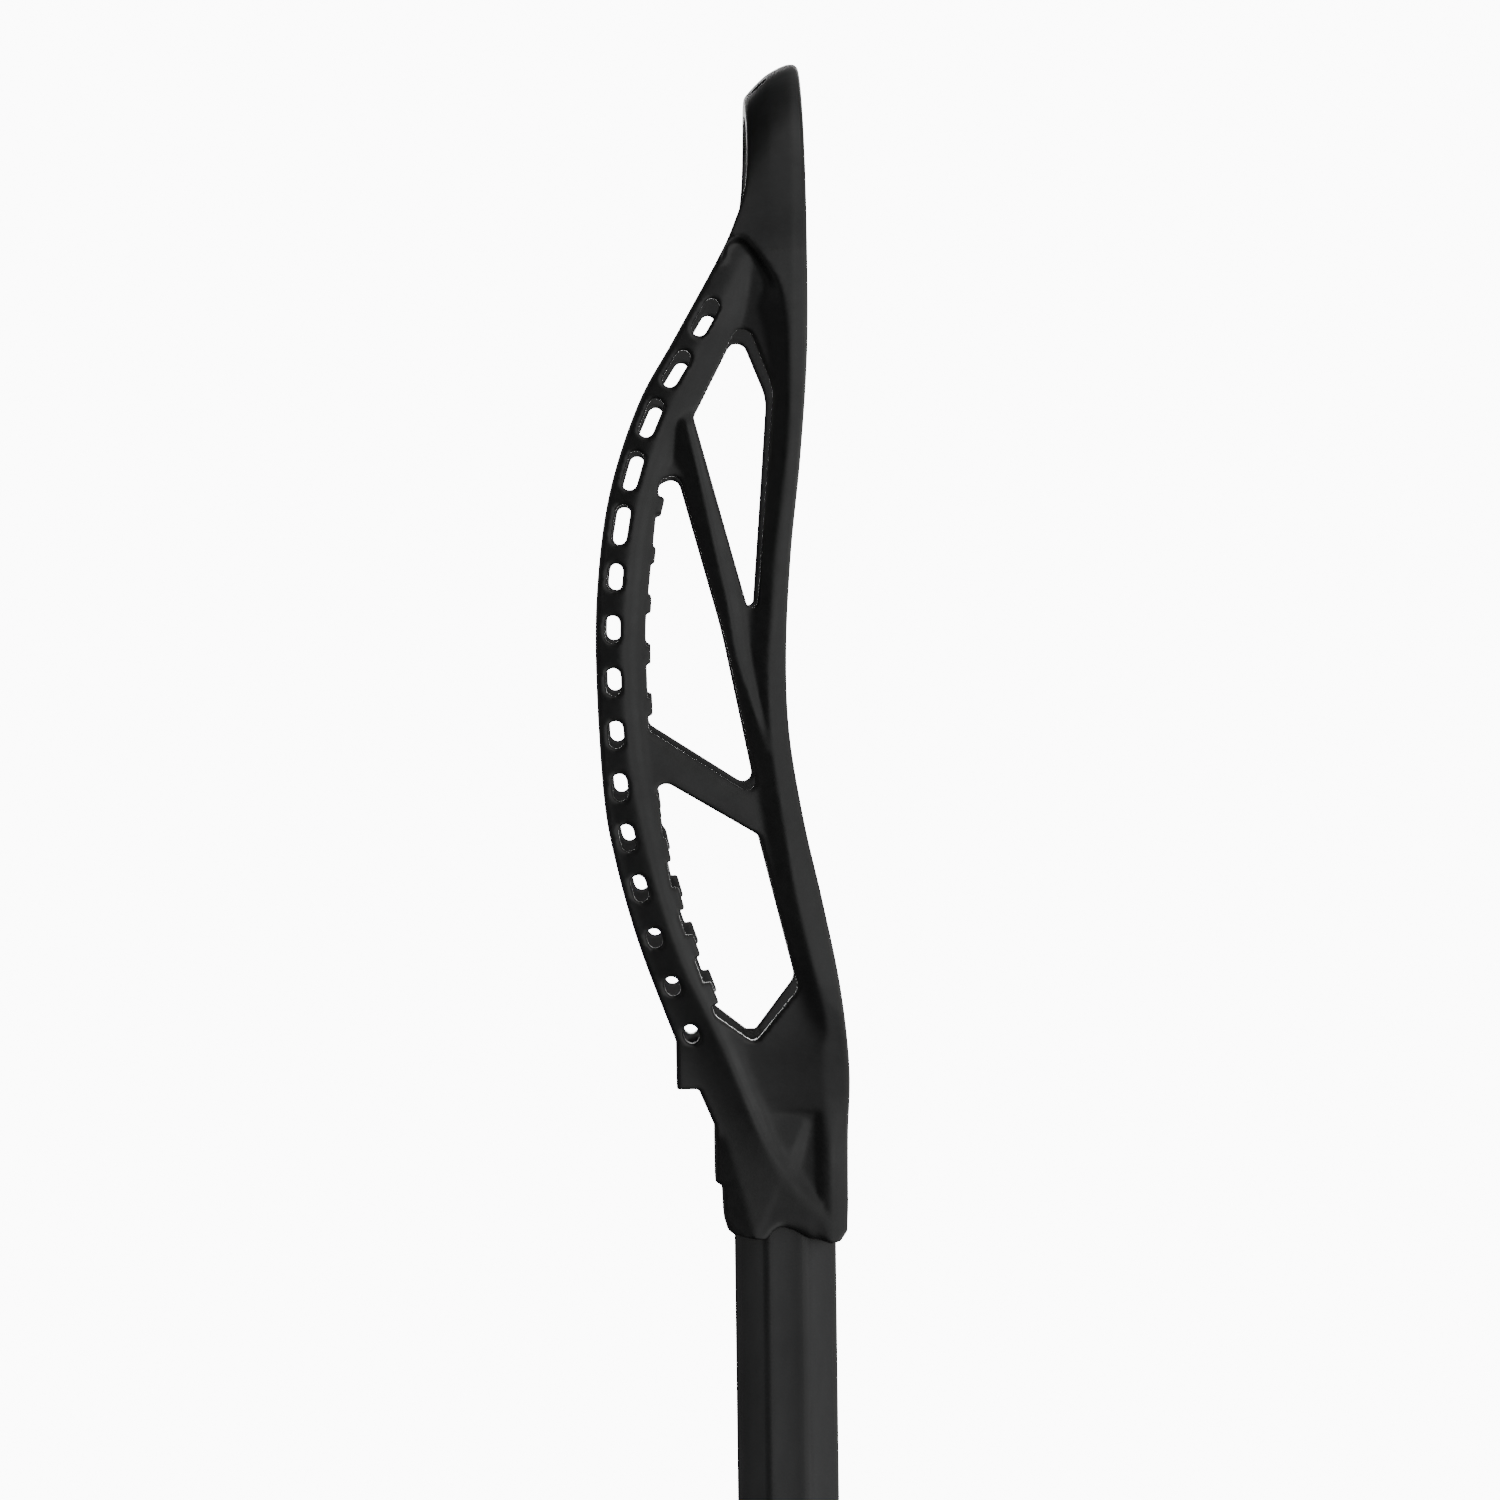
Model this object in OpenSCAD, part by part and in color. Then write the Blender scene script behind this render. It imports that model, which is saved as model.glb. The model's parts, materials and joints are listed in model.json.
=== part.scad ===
// Lacrosse stick: an unstrung field head on an octagonal alloy shaft.
// The origin is the centre of the butt end. +Z runs up the shaft to the scoop, -Y is the ball
// side (front), +Y is the pocket side (back) and X is across the head. Millimetres.

/* [Shaft] */
// Length of the alloy tube
shaft_l = 762; // [700:1:1100]
// Depth of the tube, front flat to back flat
shaft_d = 25.4; // [24:0.1:26]
// Width of the tube, side flat to side flat
shaft_w = 22.2; // [21:0.1:23]
// Wall of the tube
shaft_wall = 1.3; // [1:0.1:2]
// Width of each side flat
side_flat = 10.2; // [8:0.1:12]
// Width of the front flat and of the back flat
front_flat = 7.4; // [6:0.1:9]

/* [Head] */
// Height of the scoop's tip over the throat's rim
head_l = 294; // [285:1:300]
// Outer half width where the scoop is widest
scoop_half_w = 79; // [76:1:82]
// Height of the widest place over the throat's rim
scoop_h = 246; // [238:1:250]
// Slope of the scoop's lip, back and down from its front edge
lip_slope = 0.84; // [0.5:0.01:1]
// Thickness of the side walls
wall = 4.6; // [3.5:0.1:6]
// Half width inside the round bottom of the pocket opening
stop_half_w = 35.5; // [34:0.1:37]
// Height of the ball stop's lowest place over the throat's rim
stop_h = 45.5; // [44:0.1:47]

/* [Throat] */
// Depth of the socket that takes the shaft
socket_l = 37; // [33:1:38]
// Play between the shaft and the socket or the end cap, each side
play = 0.15; // [0.1:0.05:0.3]
// Outer half width of the throat
throat_half_w = 14.3; // [14:0.1:15]
// Width of the chamfer on the throat's corners
throat_chamfer = 5; // [3:0.5:6]

/* [String holes] */
// Number of slots in each back rail
slots = 15; // [11:1:15]
// Distance from slot to slot along the rail's outer edge
slot_pitch = 13.1; // [12:0.1:13.1]
// Distance of the slots' centre line from the rail's outer edge
slot_inset = 4.2; // [4:0.1:5]
// Width of a slot
slot_w = 3.6; // [3:0.1:3.9]
// Diameter of the round holes in the scoop and in the ball stop's ledge
hole_d = 3.6; // [3:0.1:3.9]
// Width of the back rail, from its outer edge to the windows
rail_w = 12.6; // [11:0.1:13]

/* [Head screw] */
// Height of the screw over the throat's rim
screw_h = 24; // [22:1:26]
// Diameter over the screw's thread
screw_d = 4.2; // [3.5:0.1:4.5]
// Length of the screw under its head
screw_l = 16; // [14:1:18]
// Diameter of the screw's head
screw_head_d = 8; // [7:0.1:9]
// Height of the screw's head
screw_head_h = 2.2; // [1.8:0.1:2.4]

/* [Small parts] */
// Length of the end cap
cap_l = 32; // [25:1:40]
// Thickness of the end cap's sleeve
cap_wall = 1.9; // [1.5:0.1:2.5]
// Thickness of the end cap's floor
cap_floor = 4; // [3:0.5:6]
// Thickness of the foam pad on the ball stop
pad_t = 3; // [2:0.5:3.5]
// Length of the foam pad, front to back
pad_l = 30; // [24:1:32]

/* [Hidden] */

$fn = 48;
seat_gap = 0.1;
shaft_z0 = cap_floor + seat_gap;
shaft_z1 = shaft_z0 + shaft_l;
throat_z = shaft_z1 - socket_l;
tip_y = -5;
stop_top = 92;
run_fit = 0.05;
lip_bulge = 1;
screw_clear_d = screw_d + 0.6;
throat_back = 17.5;
screw_seat = throat_back - screw_head_h - 0.2;

// Side outline of the head as [y, height] points: up the front, then down the back.
front_edge = [
    [-15.7, 10], [-15.8, 28], [-16.2, 45], [-13.9, 66], [-9.5, 88], [-5.3, 107], [-1.9, 129],
    [-1.4, 150], [-2.8, 173.5], [-5.2, 196], [-7, 222], [-7.1, 250], [-6.9, 278], [-6.6, 300]
];
back_edge = [
    [7.2, 290], [6.8, 275], [7.6, 262], [10.6, 252.5], [14.6, 244], [25.4, 225], [34, 210], [41, 190],
    [44.4, 169.5], [45.4, 147], [44, 115], [41.2, 97.5], [35.6, 76.5], [26.8, 52]
];
throat_edge = [
    [26.8, 39.8], [21.4, 39.8], [17.5, 30.5], [17.5, 16.2], [15.8, 15.2], [15.5, 7.5],
    [14.5, 4.2], [12, 1.8], [7.4, 0.2], [0, 0], [-10, 0.4], [-12.5, 1.3], [-14.9, 3.7]
];

// Windows of the side wall as [y, height, corner radius], each below the scoop or a strut.
upper_window = [[1.3, 213, 13], [8.4, 230.8, 2.6], [20.8, 206.6, 2.6], [8, 159.8, 1.3], [5.6, 159.8, 1.3]];
middle_window = [
    [24.8, 192.8, 2.4], [29.2, 191, 2], [33.2, 155, 80], [32.6, 129.8, 2], [5.6, 112.4, 2.2], [14.2, 153.5, 150]
];
lower_window = [
    [31.6, 118.9, 2.4], [27.2, 88, 90], [17, 58.6, 2], [7.4, 51.4, 2], [-3.6, 65.3, 3], [5.8, 103.6, 3]
];

// Front view of one side wall's outer face as [x, height], from the shoulder to the widest place.
wall_path = [
    [34.2, 66], [37.4, 73.5], [40.8, 83], [43.5, 95.5], [45.2, 112], [46.6, 132], [49, 153], [53.6, 176],
    [61.2, 199], [69.8, 219], [76, 234], [scoop_half_w, scoop_h]
];
shoulder_path = [
    [13.6, 0], [throat_half_w, 2.5], [throat_half_w, 14], [15.8, 24], [18.8, 34], [23, 44], [28.6, 55],
    wall_path[0]
];

function curve4(a, b, c, d, t) =
    0.5 * (2 * b + (c - a) * t + (2 * a - 5 * b + 4 * c - d) * t * t + (3 * b - a - 3 * c + d) * t * t * t);
// A smooth curve through the points p, with n steps from each point to the next.
function spline(p, n) = [
    for (i = [0 : len(p) - 2], k = [0 : n - 1])
        curve4(p[max(i - 1, 0)], p[i], p[i + 1], p[min(i + 2, len(p) - 1)], k / n),
    p[len(p) - 1]
];
function unit(v) = v / norm(v);
// The arc of radius r that rounds the corner b between a and c.
function corner_arc(a, b, c, r) =
    let (u = unit(a - b), v = unit(c - b), half = acos(u * v) / 2)
    let (centre = b + unit(u + v) * r / sin(half), from = b + u * r / tan(half) - centre)
    let (turn = (180 - 2 * half) * sign(cross(u, v)), steps = max(3, ceil(abs(turn) / 18)))
    [for (i = [0 : steps])
        let (a1 = -turn * i / steps)
        centre + [from.x * cos(a1) - from.y * sin(a1), from.x * sin(a1) + from.y * cos(a1)]];
function rounded(p) = [
    for (i = [0 : len(p) - 1])
        let (a = p[(i + len(p) - 1) % len(p)], b = p[i], c = p[(i + 1) % len(p)])
        each corner_arc([a.x, a.y], [b.x, b.y], [c.x, c.y], b.z)
];
// Where a walk of length s along the points p ends: [point, direction].
function walk(p, s, i = 0) =
    let (step = norm(p[i + 1] - p[i]))
    s <= step || i == len(p) - 2
        ? [p[i] + unit(p[i + 1] - p[i]) * s, unit(p[i + 1] - p[i])]
        : walk(p, s - step, i + 1);
function reversed(p) = [for (i = [len(p) - 1 : -1 : 0]) p[i]];
function mirrored(p) = [for (q = reversed(p)) [-q.x, q.y]];
function octagon(grow) =
    let (x = shaft_w / 2 + grow, y = shaft_d / 2 + grow, a = front_flat / 2 + grow * 0.41,
         b = side_flat / 2 + grow * 0.41)
    [[x, b], [a, y], [-a, y], [-x, b], [-x, -b], [-a, -y], [a, -y], [x, -b]];
function stop_point(a, inward = 0) =
    let (rise = stop_top - stop_h)
    [(stop_half_w - inward) * cos(a), stop_top - (rise - inward) * sin(a)];

rail_line = reversed(spline(back_edge, 6));
first_slot = 0.6;
tooth_places = [0.6, 1.6, 2.6, 3.6, 4.5, 6.5, 7.5, 8.5, 9.5, 10.5];
// A place on the back rail, between its outer edge and the windows: [point, direction].
function on_rail(s, inset) =
    let (w = walk(rail_line, s))
    [w[0] + inset * [-w[1].y, w[1].x], w[1]];
// The slots stand a little further apart towards the scoop, where they are longer.
function slot_place(i) = first_slot + i * slot_pitch + 0.9 * max(0, i - 9.8);
function slot_l(i) = i < 3 ? 5 : i < 10 ? 6.8 : 9.4;

module side_prism() {
    rotate([90, 0, 90]) linear_extrude(200, center = true) children();
}
module front_prism(depth) {
    rotate([90, 0, 0]) linear_extrude(depth, center = true) children();
}
module along_rail(s, inset) {
    place = on_rail(s, inset);
    translate(place[0]) rotate(atan2(place[1].y, place[1].x)) children();
}
module slot_shape(length, width) {
    square([length - width, width], center = true);
    for (end = [-1, 1]) translate([end * (length - width) / 2, 0]) circle(d = width, $fn = 16);
}

// The head seen from the side: its outline, less the windows and the string slots.
module side_shape() {
    difference() {
        polygon(concat(spline(front_edge, 4), reversed(rail_line), throat_edge));
        polygon(rounded(upper_window));
        difference() {
            union() {
                polygon(rounded(middle_window));
                polygon(rounded(lower_window));
            }
            rail_teeth();
        }
        for (i = [0 : slots - 1])
            along_rail(slot_place(i), slot_inset) slot_shape(slot_l(i), slot_w);
    }
}
// Small blocks between the slots, which stand a little proud of the rail's inner edge.
module rail_teeth() {
    for (i = tooth_places)
        along_rail(slot_place(i), rail_w - 0.6) square([i < 5 ? 6 : 4.4, 3], center = true);
}

// The bent band of both side walls and the scoop, wider than the side outline that trims it.
module wall_band() {
    side = spline(wall_path, 3);
    arc = [for (a = [7.5 : 7.5 : 90]) [scoop_half_w * cos(a), scoop_h + (head_l - scoop_h) * sin(a)]];
    half = concat(side, arc);
    path = concat(half, mirrored([for (i = [0 : len(half) - 2]) half[i]]));
    last = len(path) - 1;
    corners = [for (i = [0 : last]) each band_corners(path[i], path[max(i - 1, 0)], path[min(i + 1, last)])];
    skin = [
        for (i = [0 : last - 1], k = [0 : 4])
            let (a = 5 * i + k, b = 5 * i + (k + 1) % 5)
            each [[a, b + 5, b], [a, a + 5, b + 5]]
    ];
    foot = [[0, 1, 4], [1, 2, 3], [1, 3, 4]];
    ends = [each foot, for (f = foot) [for (k = [2 : -1 : 0]) f[k] + 5 * last]];
    polyhedron(points = corners, faces = concat(skin, ends));
}
// One cross-section of the band: along the outer face, which bulges at the lip, then the inner one.
function band_corners(p, before, after) =
    let (way = unit(after - before), out = [way.y, -way.x])
    let (lean = lip_slope * pow(max(out.y, 0), 1.5) + 0.05 * max(0, min(1, (p.y - 180) / 60)))
    let (y0 = -12 - 8 * max(0, min(1, (110 - p.y) / 50)))
    let (y1 = p.y > 255 ? 18 : p.y > 225 ? 18 + (255 - p.y) : 48)
    [for (c = [[y0, 0], [1.4, -lip_bulge * max(out.y, 0)], [y1, 0], [y1, wall], [y0, wall]])
        let (q = p - out * (c[1] + lean * (c[0] - tip_y)))
        [q.x, c[0], q.y]];

// The throat and its shoulders, up to the round bottom of the pocket opening.
module throat_block() {
    foot = spline(wall_path, 3);
    inner_corner = band_corners(foot[0], foot[0], foot[1])[3];
    half = concat(spline(shoulder_path, 2), [[inner_corner.x, inner_corner.z]]);
    stop = [for (a = [35 : 5 : 145]) stop_point(a)];
    intersection() {
        front_prism(120) polygon(concat(half, stop, mirrored(half)));
        throat_envelope();
    }
}
// Keeps the throat's corners chamfered where it hugs the shaft.
module throat_envelope() {
    difference() {
        translate([-60, -60, -1]) cube([120, 120, 90]);
        for (sx = [-1, 1], sy = [-1, 1])
            translate([sx * throat_half_w, sy * 15.8, -2])
                rotate(45) cube([throat_chamfer, throat_chamfer, 40], center = true);
    }
}
module socket() {
    translate([0, 0, -1]) linear_extrude(socket_l + 1) polygon(octagon(play));
}
module plug() {
    difference() {
        translate([0, 0, 4]) linear_extrude(socket_l - 3) polygon(octagon(-shaft_wall - 0.3));
        for (side = [-1, 1])
            translate([side * 6.6, 0, 14]) cube([3, 9, 24], center = true);
    }
}
// Cutters for the screw, along +Y out of the back of the throat.
module along_screw(y, length, d) {
    translate([0, y, screw_h]) rotate([-90, 0, 0]) cylinder(h = length, d = d);
}
module scoop_holes() {
    for (a = [74 : 8 : 106])
        translate([(scoop_half_w - 4) * cos(a), 3.5, scoop_h + (head_l - scoop_h - 8) * sin(a)])
            rotate([0, 90 - a, 0]) cylinder(h = 24, d = hole_d, center = true);
}
module ledge_holes() {
    for (x = [-15.5, -5.5, 5.5, 15.5])
        translate([x, 22.2, 38]) cylinder(h = 34, d = hole_d);
}

module head_frame() {
    color("#1b1b1c")
        translate([0, 0, throat_z]) {
            difference() {
                intersection() {
                    side_prism() side_shape();
                    union() {
                        wall_band();
                        throat_block();
                    }
                }
                socket();
                translate([0, -1.4, -3.6]) rotate([0, 90, 0]) cylinder(h = 60, r = 9, center = true);
                along_screw(screw_seat, 10, screw_head_d + 0.8);
                along_screw(10, 8, screw_clear_d);
                scoop_holes();
                ledge_holes();
            }
            difference() {
                plug();
                along_screw(-3, 20, screw_d + 2 * run_fit);
            }
        }
}

module ball_stop_pad() {
    outer = [for (a = [65 : 5 : 115]) stop_point(a)];
    inner = [for (a = [115 : -5 : 65]) stop_point(a, pad_t)];
    color("#2a2a2b")
        translate([0, 4, throat_z]) front_prism(pad_l) polygon(concat(outer, inner));
}

module shaft() {
    color("#232325")
        translate([0, 0, shaft_z0])
            difference() {
                linear_extrude(shaft_l) polygon(octagon(0));
                translate([0, 0, -1]) linear_extrude(shaft_l + 2) polygon(octagon(-shaft_wall));
                translate([0, 0, throat_z - shaft_z0]) along_screw(6, 10, screw_clear_d);
            }
}

module head_screw() {
    color("#8f9194")
        translate([0, 0, throat_z])
            difference() {
                union() {
                    along_screw(screw_seat, screw_head_h, screw_head_d);
                    along_screw(screw_seat - screw_l + 3, screw_l - 3, screw_d);
                    translate([0, screw_seat - screw_l + 3, screw_h])
                        rotate([90, 0, 0]) cylinder(h = 3, d1 = screw_d, d2 = 0.8);
                }
                for (turn = [0, 90])
                    translate([0, screw_seat + screw_head_h, screw_h])
                        rotate([0, turn, 0]) cube([4.6, 2.4, 1], center = true);
            }
}

module end_cap() {
    color("#1a1a1a")
        difference() {
            union() {
                linear_extrude(cap_l) polygon(octagon(play + cap_wall));
                linear_extrude(1.2) polygon(octagon(play + cap_wall + 0.6));
                translate([0, 0, 1.2]) linear_extrude(7) polygon(octagon(play + cap_wall + 1.4));
            }
            translate([0, 0, cap_floor]) linear_extrude(cap_l) polygon(octagon(play));
        }
}

head_frame();
ball_stop_pad();
shaft();
head_screw();
end_cap();
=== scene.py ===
import json
import math

import bmesh
import bpy
import numpy as np
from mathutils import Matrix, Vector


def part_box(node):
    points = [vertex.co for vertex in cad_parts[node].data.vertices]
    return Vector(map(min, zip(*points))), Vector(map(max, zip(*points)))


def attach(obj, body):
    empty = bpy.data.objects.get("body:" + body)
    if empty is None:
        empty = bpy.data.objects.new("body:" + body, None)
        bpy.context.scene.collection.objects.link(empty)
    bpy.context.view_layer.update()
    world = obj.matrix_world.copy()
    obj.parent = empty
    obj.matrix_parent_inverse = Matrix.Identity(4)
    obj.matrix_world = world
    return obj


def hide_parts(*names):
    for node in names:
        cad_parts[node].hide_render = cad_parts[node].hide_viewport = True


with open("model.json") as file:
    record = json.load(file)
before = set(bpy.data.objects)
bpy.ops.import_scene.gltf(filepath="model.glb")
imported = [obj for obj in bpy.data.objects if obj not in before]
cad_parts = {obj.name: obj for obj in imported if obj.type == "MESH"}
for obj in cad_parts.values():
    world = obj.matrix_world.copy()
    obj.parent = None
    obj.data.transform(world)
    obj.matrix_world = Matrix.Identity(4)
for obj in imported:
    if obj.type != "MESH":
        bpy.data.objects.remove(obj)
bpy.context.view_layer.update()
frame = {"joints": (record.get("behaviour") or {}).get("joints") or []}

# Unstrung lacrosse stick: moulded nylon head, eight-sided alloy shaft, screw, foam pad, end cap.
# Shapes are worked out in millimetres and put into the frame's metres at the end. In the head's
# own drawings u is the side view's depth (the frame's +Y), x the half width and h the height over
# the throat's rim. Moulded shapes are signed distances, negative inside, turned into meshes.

import openvdb
from mathutils import Matrix, Vector

MM = 0.001
# The step of the head's grid, the radius of its moulded edges, and the points on a drawn corner.
CELL = 0.6
EDGE = 0.6
ARC_POINTS = 8

# The head against the frame's boxes. The tube ends SOCKET above the throat's rim, and the sides
# and the tip stay inside the CAD's box by their slack.
SOCKET = 37
SIDE_SLACK = 0.1
TIP_SLACK = 0.9
RIM_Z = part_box("shaft")[1].z / MM - SOCKET
HALF_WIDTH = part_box("head_frame")[1].x / MM - SIDE_SLACK
TIP_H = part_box("head_frame")[1].z / MM - RIM_Z - TIP_SLACK
# The head is widest at SCOOP_H, where the scoop's arc starts, and its tip stands at TIP_U. The
# scoop's outer face bulges at the middle one of BULGE_U, and not at all at the outer two.
SCOOP_H = 246
TIP_U = -5
BULGE_U = [-12, 1.4, 18]
WALL = 4.6

# The shaft's section: half its width and its depth, with half of the flat on each.
TUBE_X = 11.1
TUBE_Y = 12.7
FLAT_X = 3.7
FLAT_Y = 5.1

# Side view of the head as [u, h]: up the front, then down the back and round the throat.
FRONT_EDGE = [
    [-15.7, 10], [-15.8, 28], [-16.2, 45], [-13.9, 66], [-9.5, 88], [-5.3, 107], [-1.9, 129],
    [-1.4, 150], [-2.8, 173.5], [-5.2, 196], [-7, 222], [-7.1, 250], [-6.9, 278], [-6.6, 300],
]
BACK_EDGE = [
    [7.2, 290], [6.8, 275], [7.6, 262], [10.6, 252.5], [14.6, 244], [25.4, 225], [34, 210],
    [41, 190], [44.4, 169.5], [45.4, 147], [44, 115], [41.2, 97.5], [35.6, 76.5], [26.8, 52],
]
THROAT_EDGE = [
    [26.8, 39.8], [21.4, 39.8], [17.5, 30.5], [17.5, 16.2], [15.8, 15.2], [15.5, 7.5],
    [14.5, 4.2], [12, 1.8], [7.4, 0.2], [0, 0], [-10.8, 0.2], [-13.6, 0.9], [-15.4, 3.6],
]
# The arch in the throat's rim, steep towards the back and long towards the front.
RIM_ARCH = [
    [7, -3], [5.2, 1], [2.8, 4], [0.8, 4.6], [-2.4, 3.6], [-5.4, 1.7], [-8.4, 0.5], [-11, -3],
]
# Windows of the side wall as [u, h, corner radius].
UPPER_WINDOW = [
    [1.3, 213, 13], [8.4, 230.8, 2.6], [20.8, 206.6, 2.6], [8, 159.8, 1.3], [5.6, 159.8, 1.3],
]
MIDDLE_WINDOW = [
    [24.5, 192.8, 2.4], [29.2, 191, 2], [33.2, 155, 80], [32.6, 129.8, 2], [5.6, 112.4, 2.2],
    [13.8, 153.5, 150],
]
LOWER_WINDOW = [
    [31.6, 118.9, 2.4], [27.2, 88, 90], [17, 58.6, 2], [7.4, 51.4, 2], [-3.6, 65.3, 3],
    [5.8, 103.6, 3],
]
# Front view of the outer face as [x, h], from the throat's rim to the widest place.
SHOULDER = [
    [13.6, 0], [14.3, 2.5], [14.3, 14], [15.8, 24], [18.8, 34], [23, 44], [28.6, 55], [34.2, 66],
]
SIDE_WALL = [
    [34.2, 66], [37.4, 73.5], [40.8, 83], [43.5, 95.5], [45.2, 112], [46.6, 132], [49, 153],
    [53.6, 176], [61.2, 199], [69.8, 219], [76, 234], [HALF_WIDTH, SCOOP_H],
]
# Ridges and edges of the wall's outer face as [u, h], all from the scoop down.
RAIL_RIDGE = [
    [5.9, 246], [11.4, 236.5], [18.5, 222.8], [28.6, 202.3], [34.7, 181.5], [37.3, 160],
    [38, 145], [36.5, 121.7], [31.3, 94.8], [24.5, 71.9], [14.7, 50.6], [5.3, 27.8],
    [-0.2, 18.8], [-3.2, 14.6], [-7.6, 10.3],
]
# The front ridge and the recess's edge share their lower part.
LOWER_RIDGE = [
    [3, 145], [2.6, 130], [1.6, 120], [-0.6, 105.5], [-3.4, 88.4], [-8.6, 66], [-14.2, 44.6],
]
FRONT_RIDGE = [
    [-4, 294], [-3.7, 275], [-3.6, 245], [-3.1, 204], [-1.9, 187], [0.9, 162], *LOWER_RIDGE,
]
RECESS_EDGE = [
    [17.5, 243.4], [14, 244.2], [13.3, 245.8], [12.9, 247.2], [12, 248.3], [10.4, 249],
    [8.7, 248.9], [6.6, 247.6], [2.1, 241.6], [-0.8, 236], [-2.2, 230], [-2.6, 219.6],
    [-2.4, 204], [-0.6, 187], [1.2, 172], [2.2, 158], *LOWER_RIDGE,
]
STRUT_RIDGE = [
    [22.2, 204], [19.6, 193], [14.6, 169.5], [12.9, 162], [10.6, 148], [7.2, 137], [3.6, 125],
]
CORNER_RIDGE = [[15, 28], [13.8, 23.8], [7.2, 0.6], [6.9, -1]]
PANEL_RIDGE = [[-5.4, 31], [-4.4, 28.7], [-0.2, 18.8], [0.6, 17]]
# The crest of the throat's front column.
COLUMN_U = -11.8

# String slots, and the teeth between them, counted up the back rail from its lower end.
SLOTS = 15
FIRST_SLOT = 0.6
SLOT_PITCH = 13.1
LONG_SLOTS_FROM = 9.8
LONG_SLOT_EXTRA = 0.9
SLOT_INSET = 4.2
SLOT_RADIUS = 1.85
TOOTH_INSET = 12
TOOTH_DEPTH = 1.5
TOOTH_PLACES = [0.6, 1.6, 2.6, 3.6, 4.5, 6.5, 7.5, 8.5, 9.5, 10.5]

# The screw stands at SCREW_H, its head seated at the depth SCREW_SEAT, in holes of these radii.
SCREW_H = 24
SCREW_SEAT = 15.1
COUNTERBORE = 4.4
SHANK_HOLE = 2.4
PLUG_HOLE = 2.15
# Round string holes, at these angles round the scoop and half widths across the ball stop. The
# other half of the head mirrors them.
STRING_HOLE = 1.8
SCOOP_HOLES = [74, 82, 90]
SCOOP_HOLE_U = 3.5
STOP_HOLES = [5.5, 15.5]
STOP_HOLE_U = 22.2
# The plug inside the tube, and the pocket in each of its sides.
PLUG_MIDDLE = 21
PLUG_HALF = 17
PLUG_WEB = 5.1
PLUG_POCKET = 4.5
PLUG_POCKET_ENDS = [2, 26]

# The round bottom of the pocket's opening, half an ellipse hung from STOP_TOP.
STOP_TOP = 92
STOP_HALF = 35.5
STOP_DROP = 46.5
# The foam pad on it.
PAD_MIDDLE = 4
PAD_HALF = 15


# ---------------------------------------------------------------- curves and distances

def spline(points, steps):
    """A smooth curve through the points."""
    p = np.array(points, float)
    p = np.vstack([p[0], p, p[-1]])
    out = []
    for a, b, c, d in zip(p[:-3], p[1:-2], p[2:-1], p[3:]):
        for t in np.arange(steps) / steps:
            out.append(0.5 * (2 * b + (c - a) * t + (2 * a - 5 * b + 4 * c - d) * t * t
                              + (3 * b - a - 3 * c + d) * t ** 3))
    return np.array(out + [p[-1]])


def rounded(corners):
    """The outline of [u, h, radius] corners, each an arc."""
    out = []
    for i, b in enumerate(corners):
        a, c = np.array(corners[i - 1][:2]), np.array(corners[(i + 1) % len(corners)][:2])
        r, b = b[2], np.array(b[:2])
        to_a, to_c = (a - b) / np.linalg.norm(a - b), (c - b) / np.linalg.norm(c - b)
        half = math.acos(float(to_a @ to_c)) / 2
        middle = (to_a + to_c) / np.linalg.norm(to_a + to_c)
        centre = b + middle * r / math.sin(half)
        start = b + to_a * r / math.tan(half) - centre
        turn = -(math.pi - 2 * half) * np.sign(to_a[0] * to_c[1] - to_a[1] * to_c[0])
        for t in np.linspace(0, turn, ARC_POINTS):
            out.append(centre + [start[0] * math.cos(t) - start[1] * math.sin(t),
                                 start[0] * math.sin(t) + start[1] * math.cos(t)])
    return np.array(out)


def to_segment(p, q, u, v):
    """Distance from each (u, v) to the segment p to q, and its side, positive on the left."""
    d = q - p
    t = np.clip(((u - p[0]) * d[0] + (v - p[1]) * d[1]) / max(float(d @ d), 1e-9), 0, 1)
    distance = np.hypot(u - p[0] - t * d[0], v - p[1] - t * d[1])
    return distance, np.sign(d[0] * (v - p[1]) - d[1] * (u - p[0]))


def to_line(points, u, v):
    """Signed distance to an open line: positive on the left of its way down."""
    best, side = np.full(u.shape, 1e9), np.zeros(u.shape)
    for p, q in zip(points[:-1], points[1:]):
        distance, left = to_segment(p, q, u, v)
        nearer = distance < best
        best, side = np.where(nearer, distance, best), np.where(nearer, left, side)
    return best * side


def to_region(points, u, v):
    """Signed distance to a closed outline: negative inside."""
    best, inside = np.full(u.shape, 1e9), np.zeros(u.shape, bool)
    for p, q in zip(points, np.roll(points, -1, axis=0)):
        best = np.minimum(best, to_segment(p, q, u, v)[0])
        if p[1] != q[1]:
            crosses = (p[1] > v) != (q[1] > v)
            inside ^= crosses & (u < (q[0] - p[0]) * (v - p[1]) / (q[1] - p[1]) + p[0])
    return np.where(inside, -best, best)


def meet(a, b, radius=EDGE):
    """Where a and b both hold, with the edge between them rounded."""
    outside = np.hypot(np.maximum(a + radius, 0), np.maximum(b + radius, 0))
    return np.minimum(np.maximum(a, b), -radius) + outside


def join(a, b, radius):
    """Where a or b holds, with a fillet between them."""
    return -meet(-a, -b, radius)


def ramp(v, start, end):
    """0 before start, 1 after end, smooth between."""
    t = np.clip((v - start) / (end - start), 0, 1)
    return t * t * (3 - 2 * t)


def fold(r, left, right, width):
    """A ridge's depth at signed distance r, with a slope on each side and a round top."""
    return ((left + right) * np.sqrt(r * r + width * width) + (left - right) * r) / 2


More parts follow.
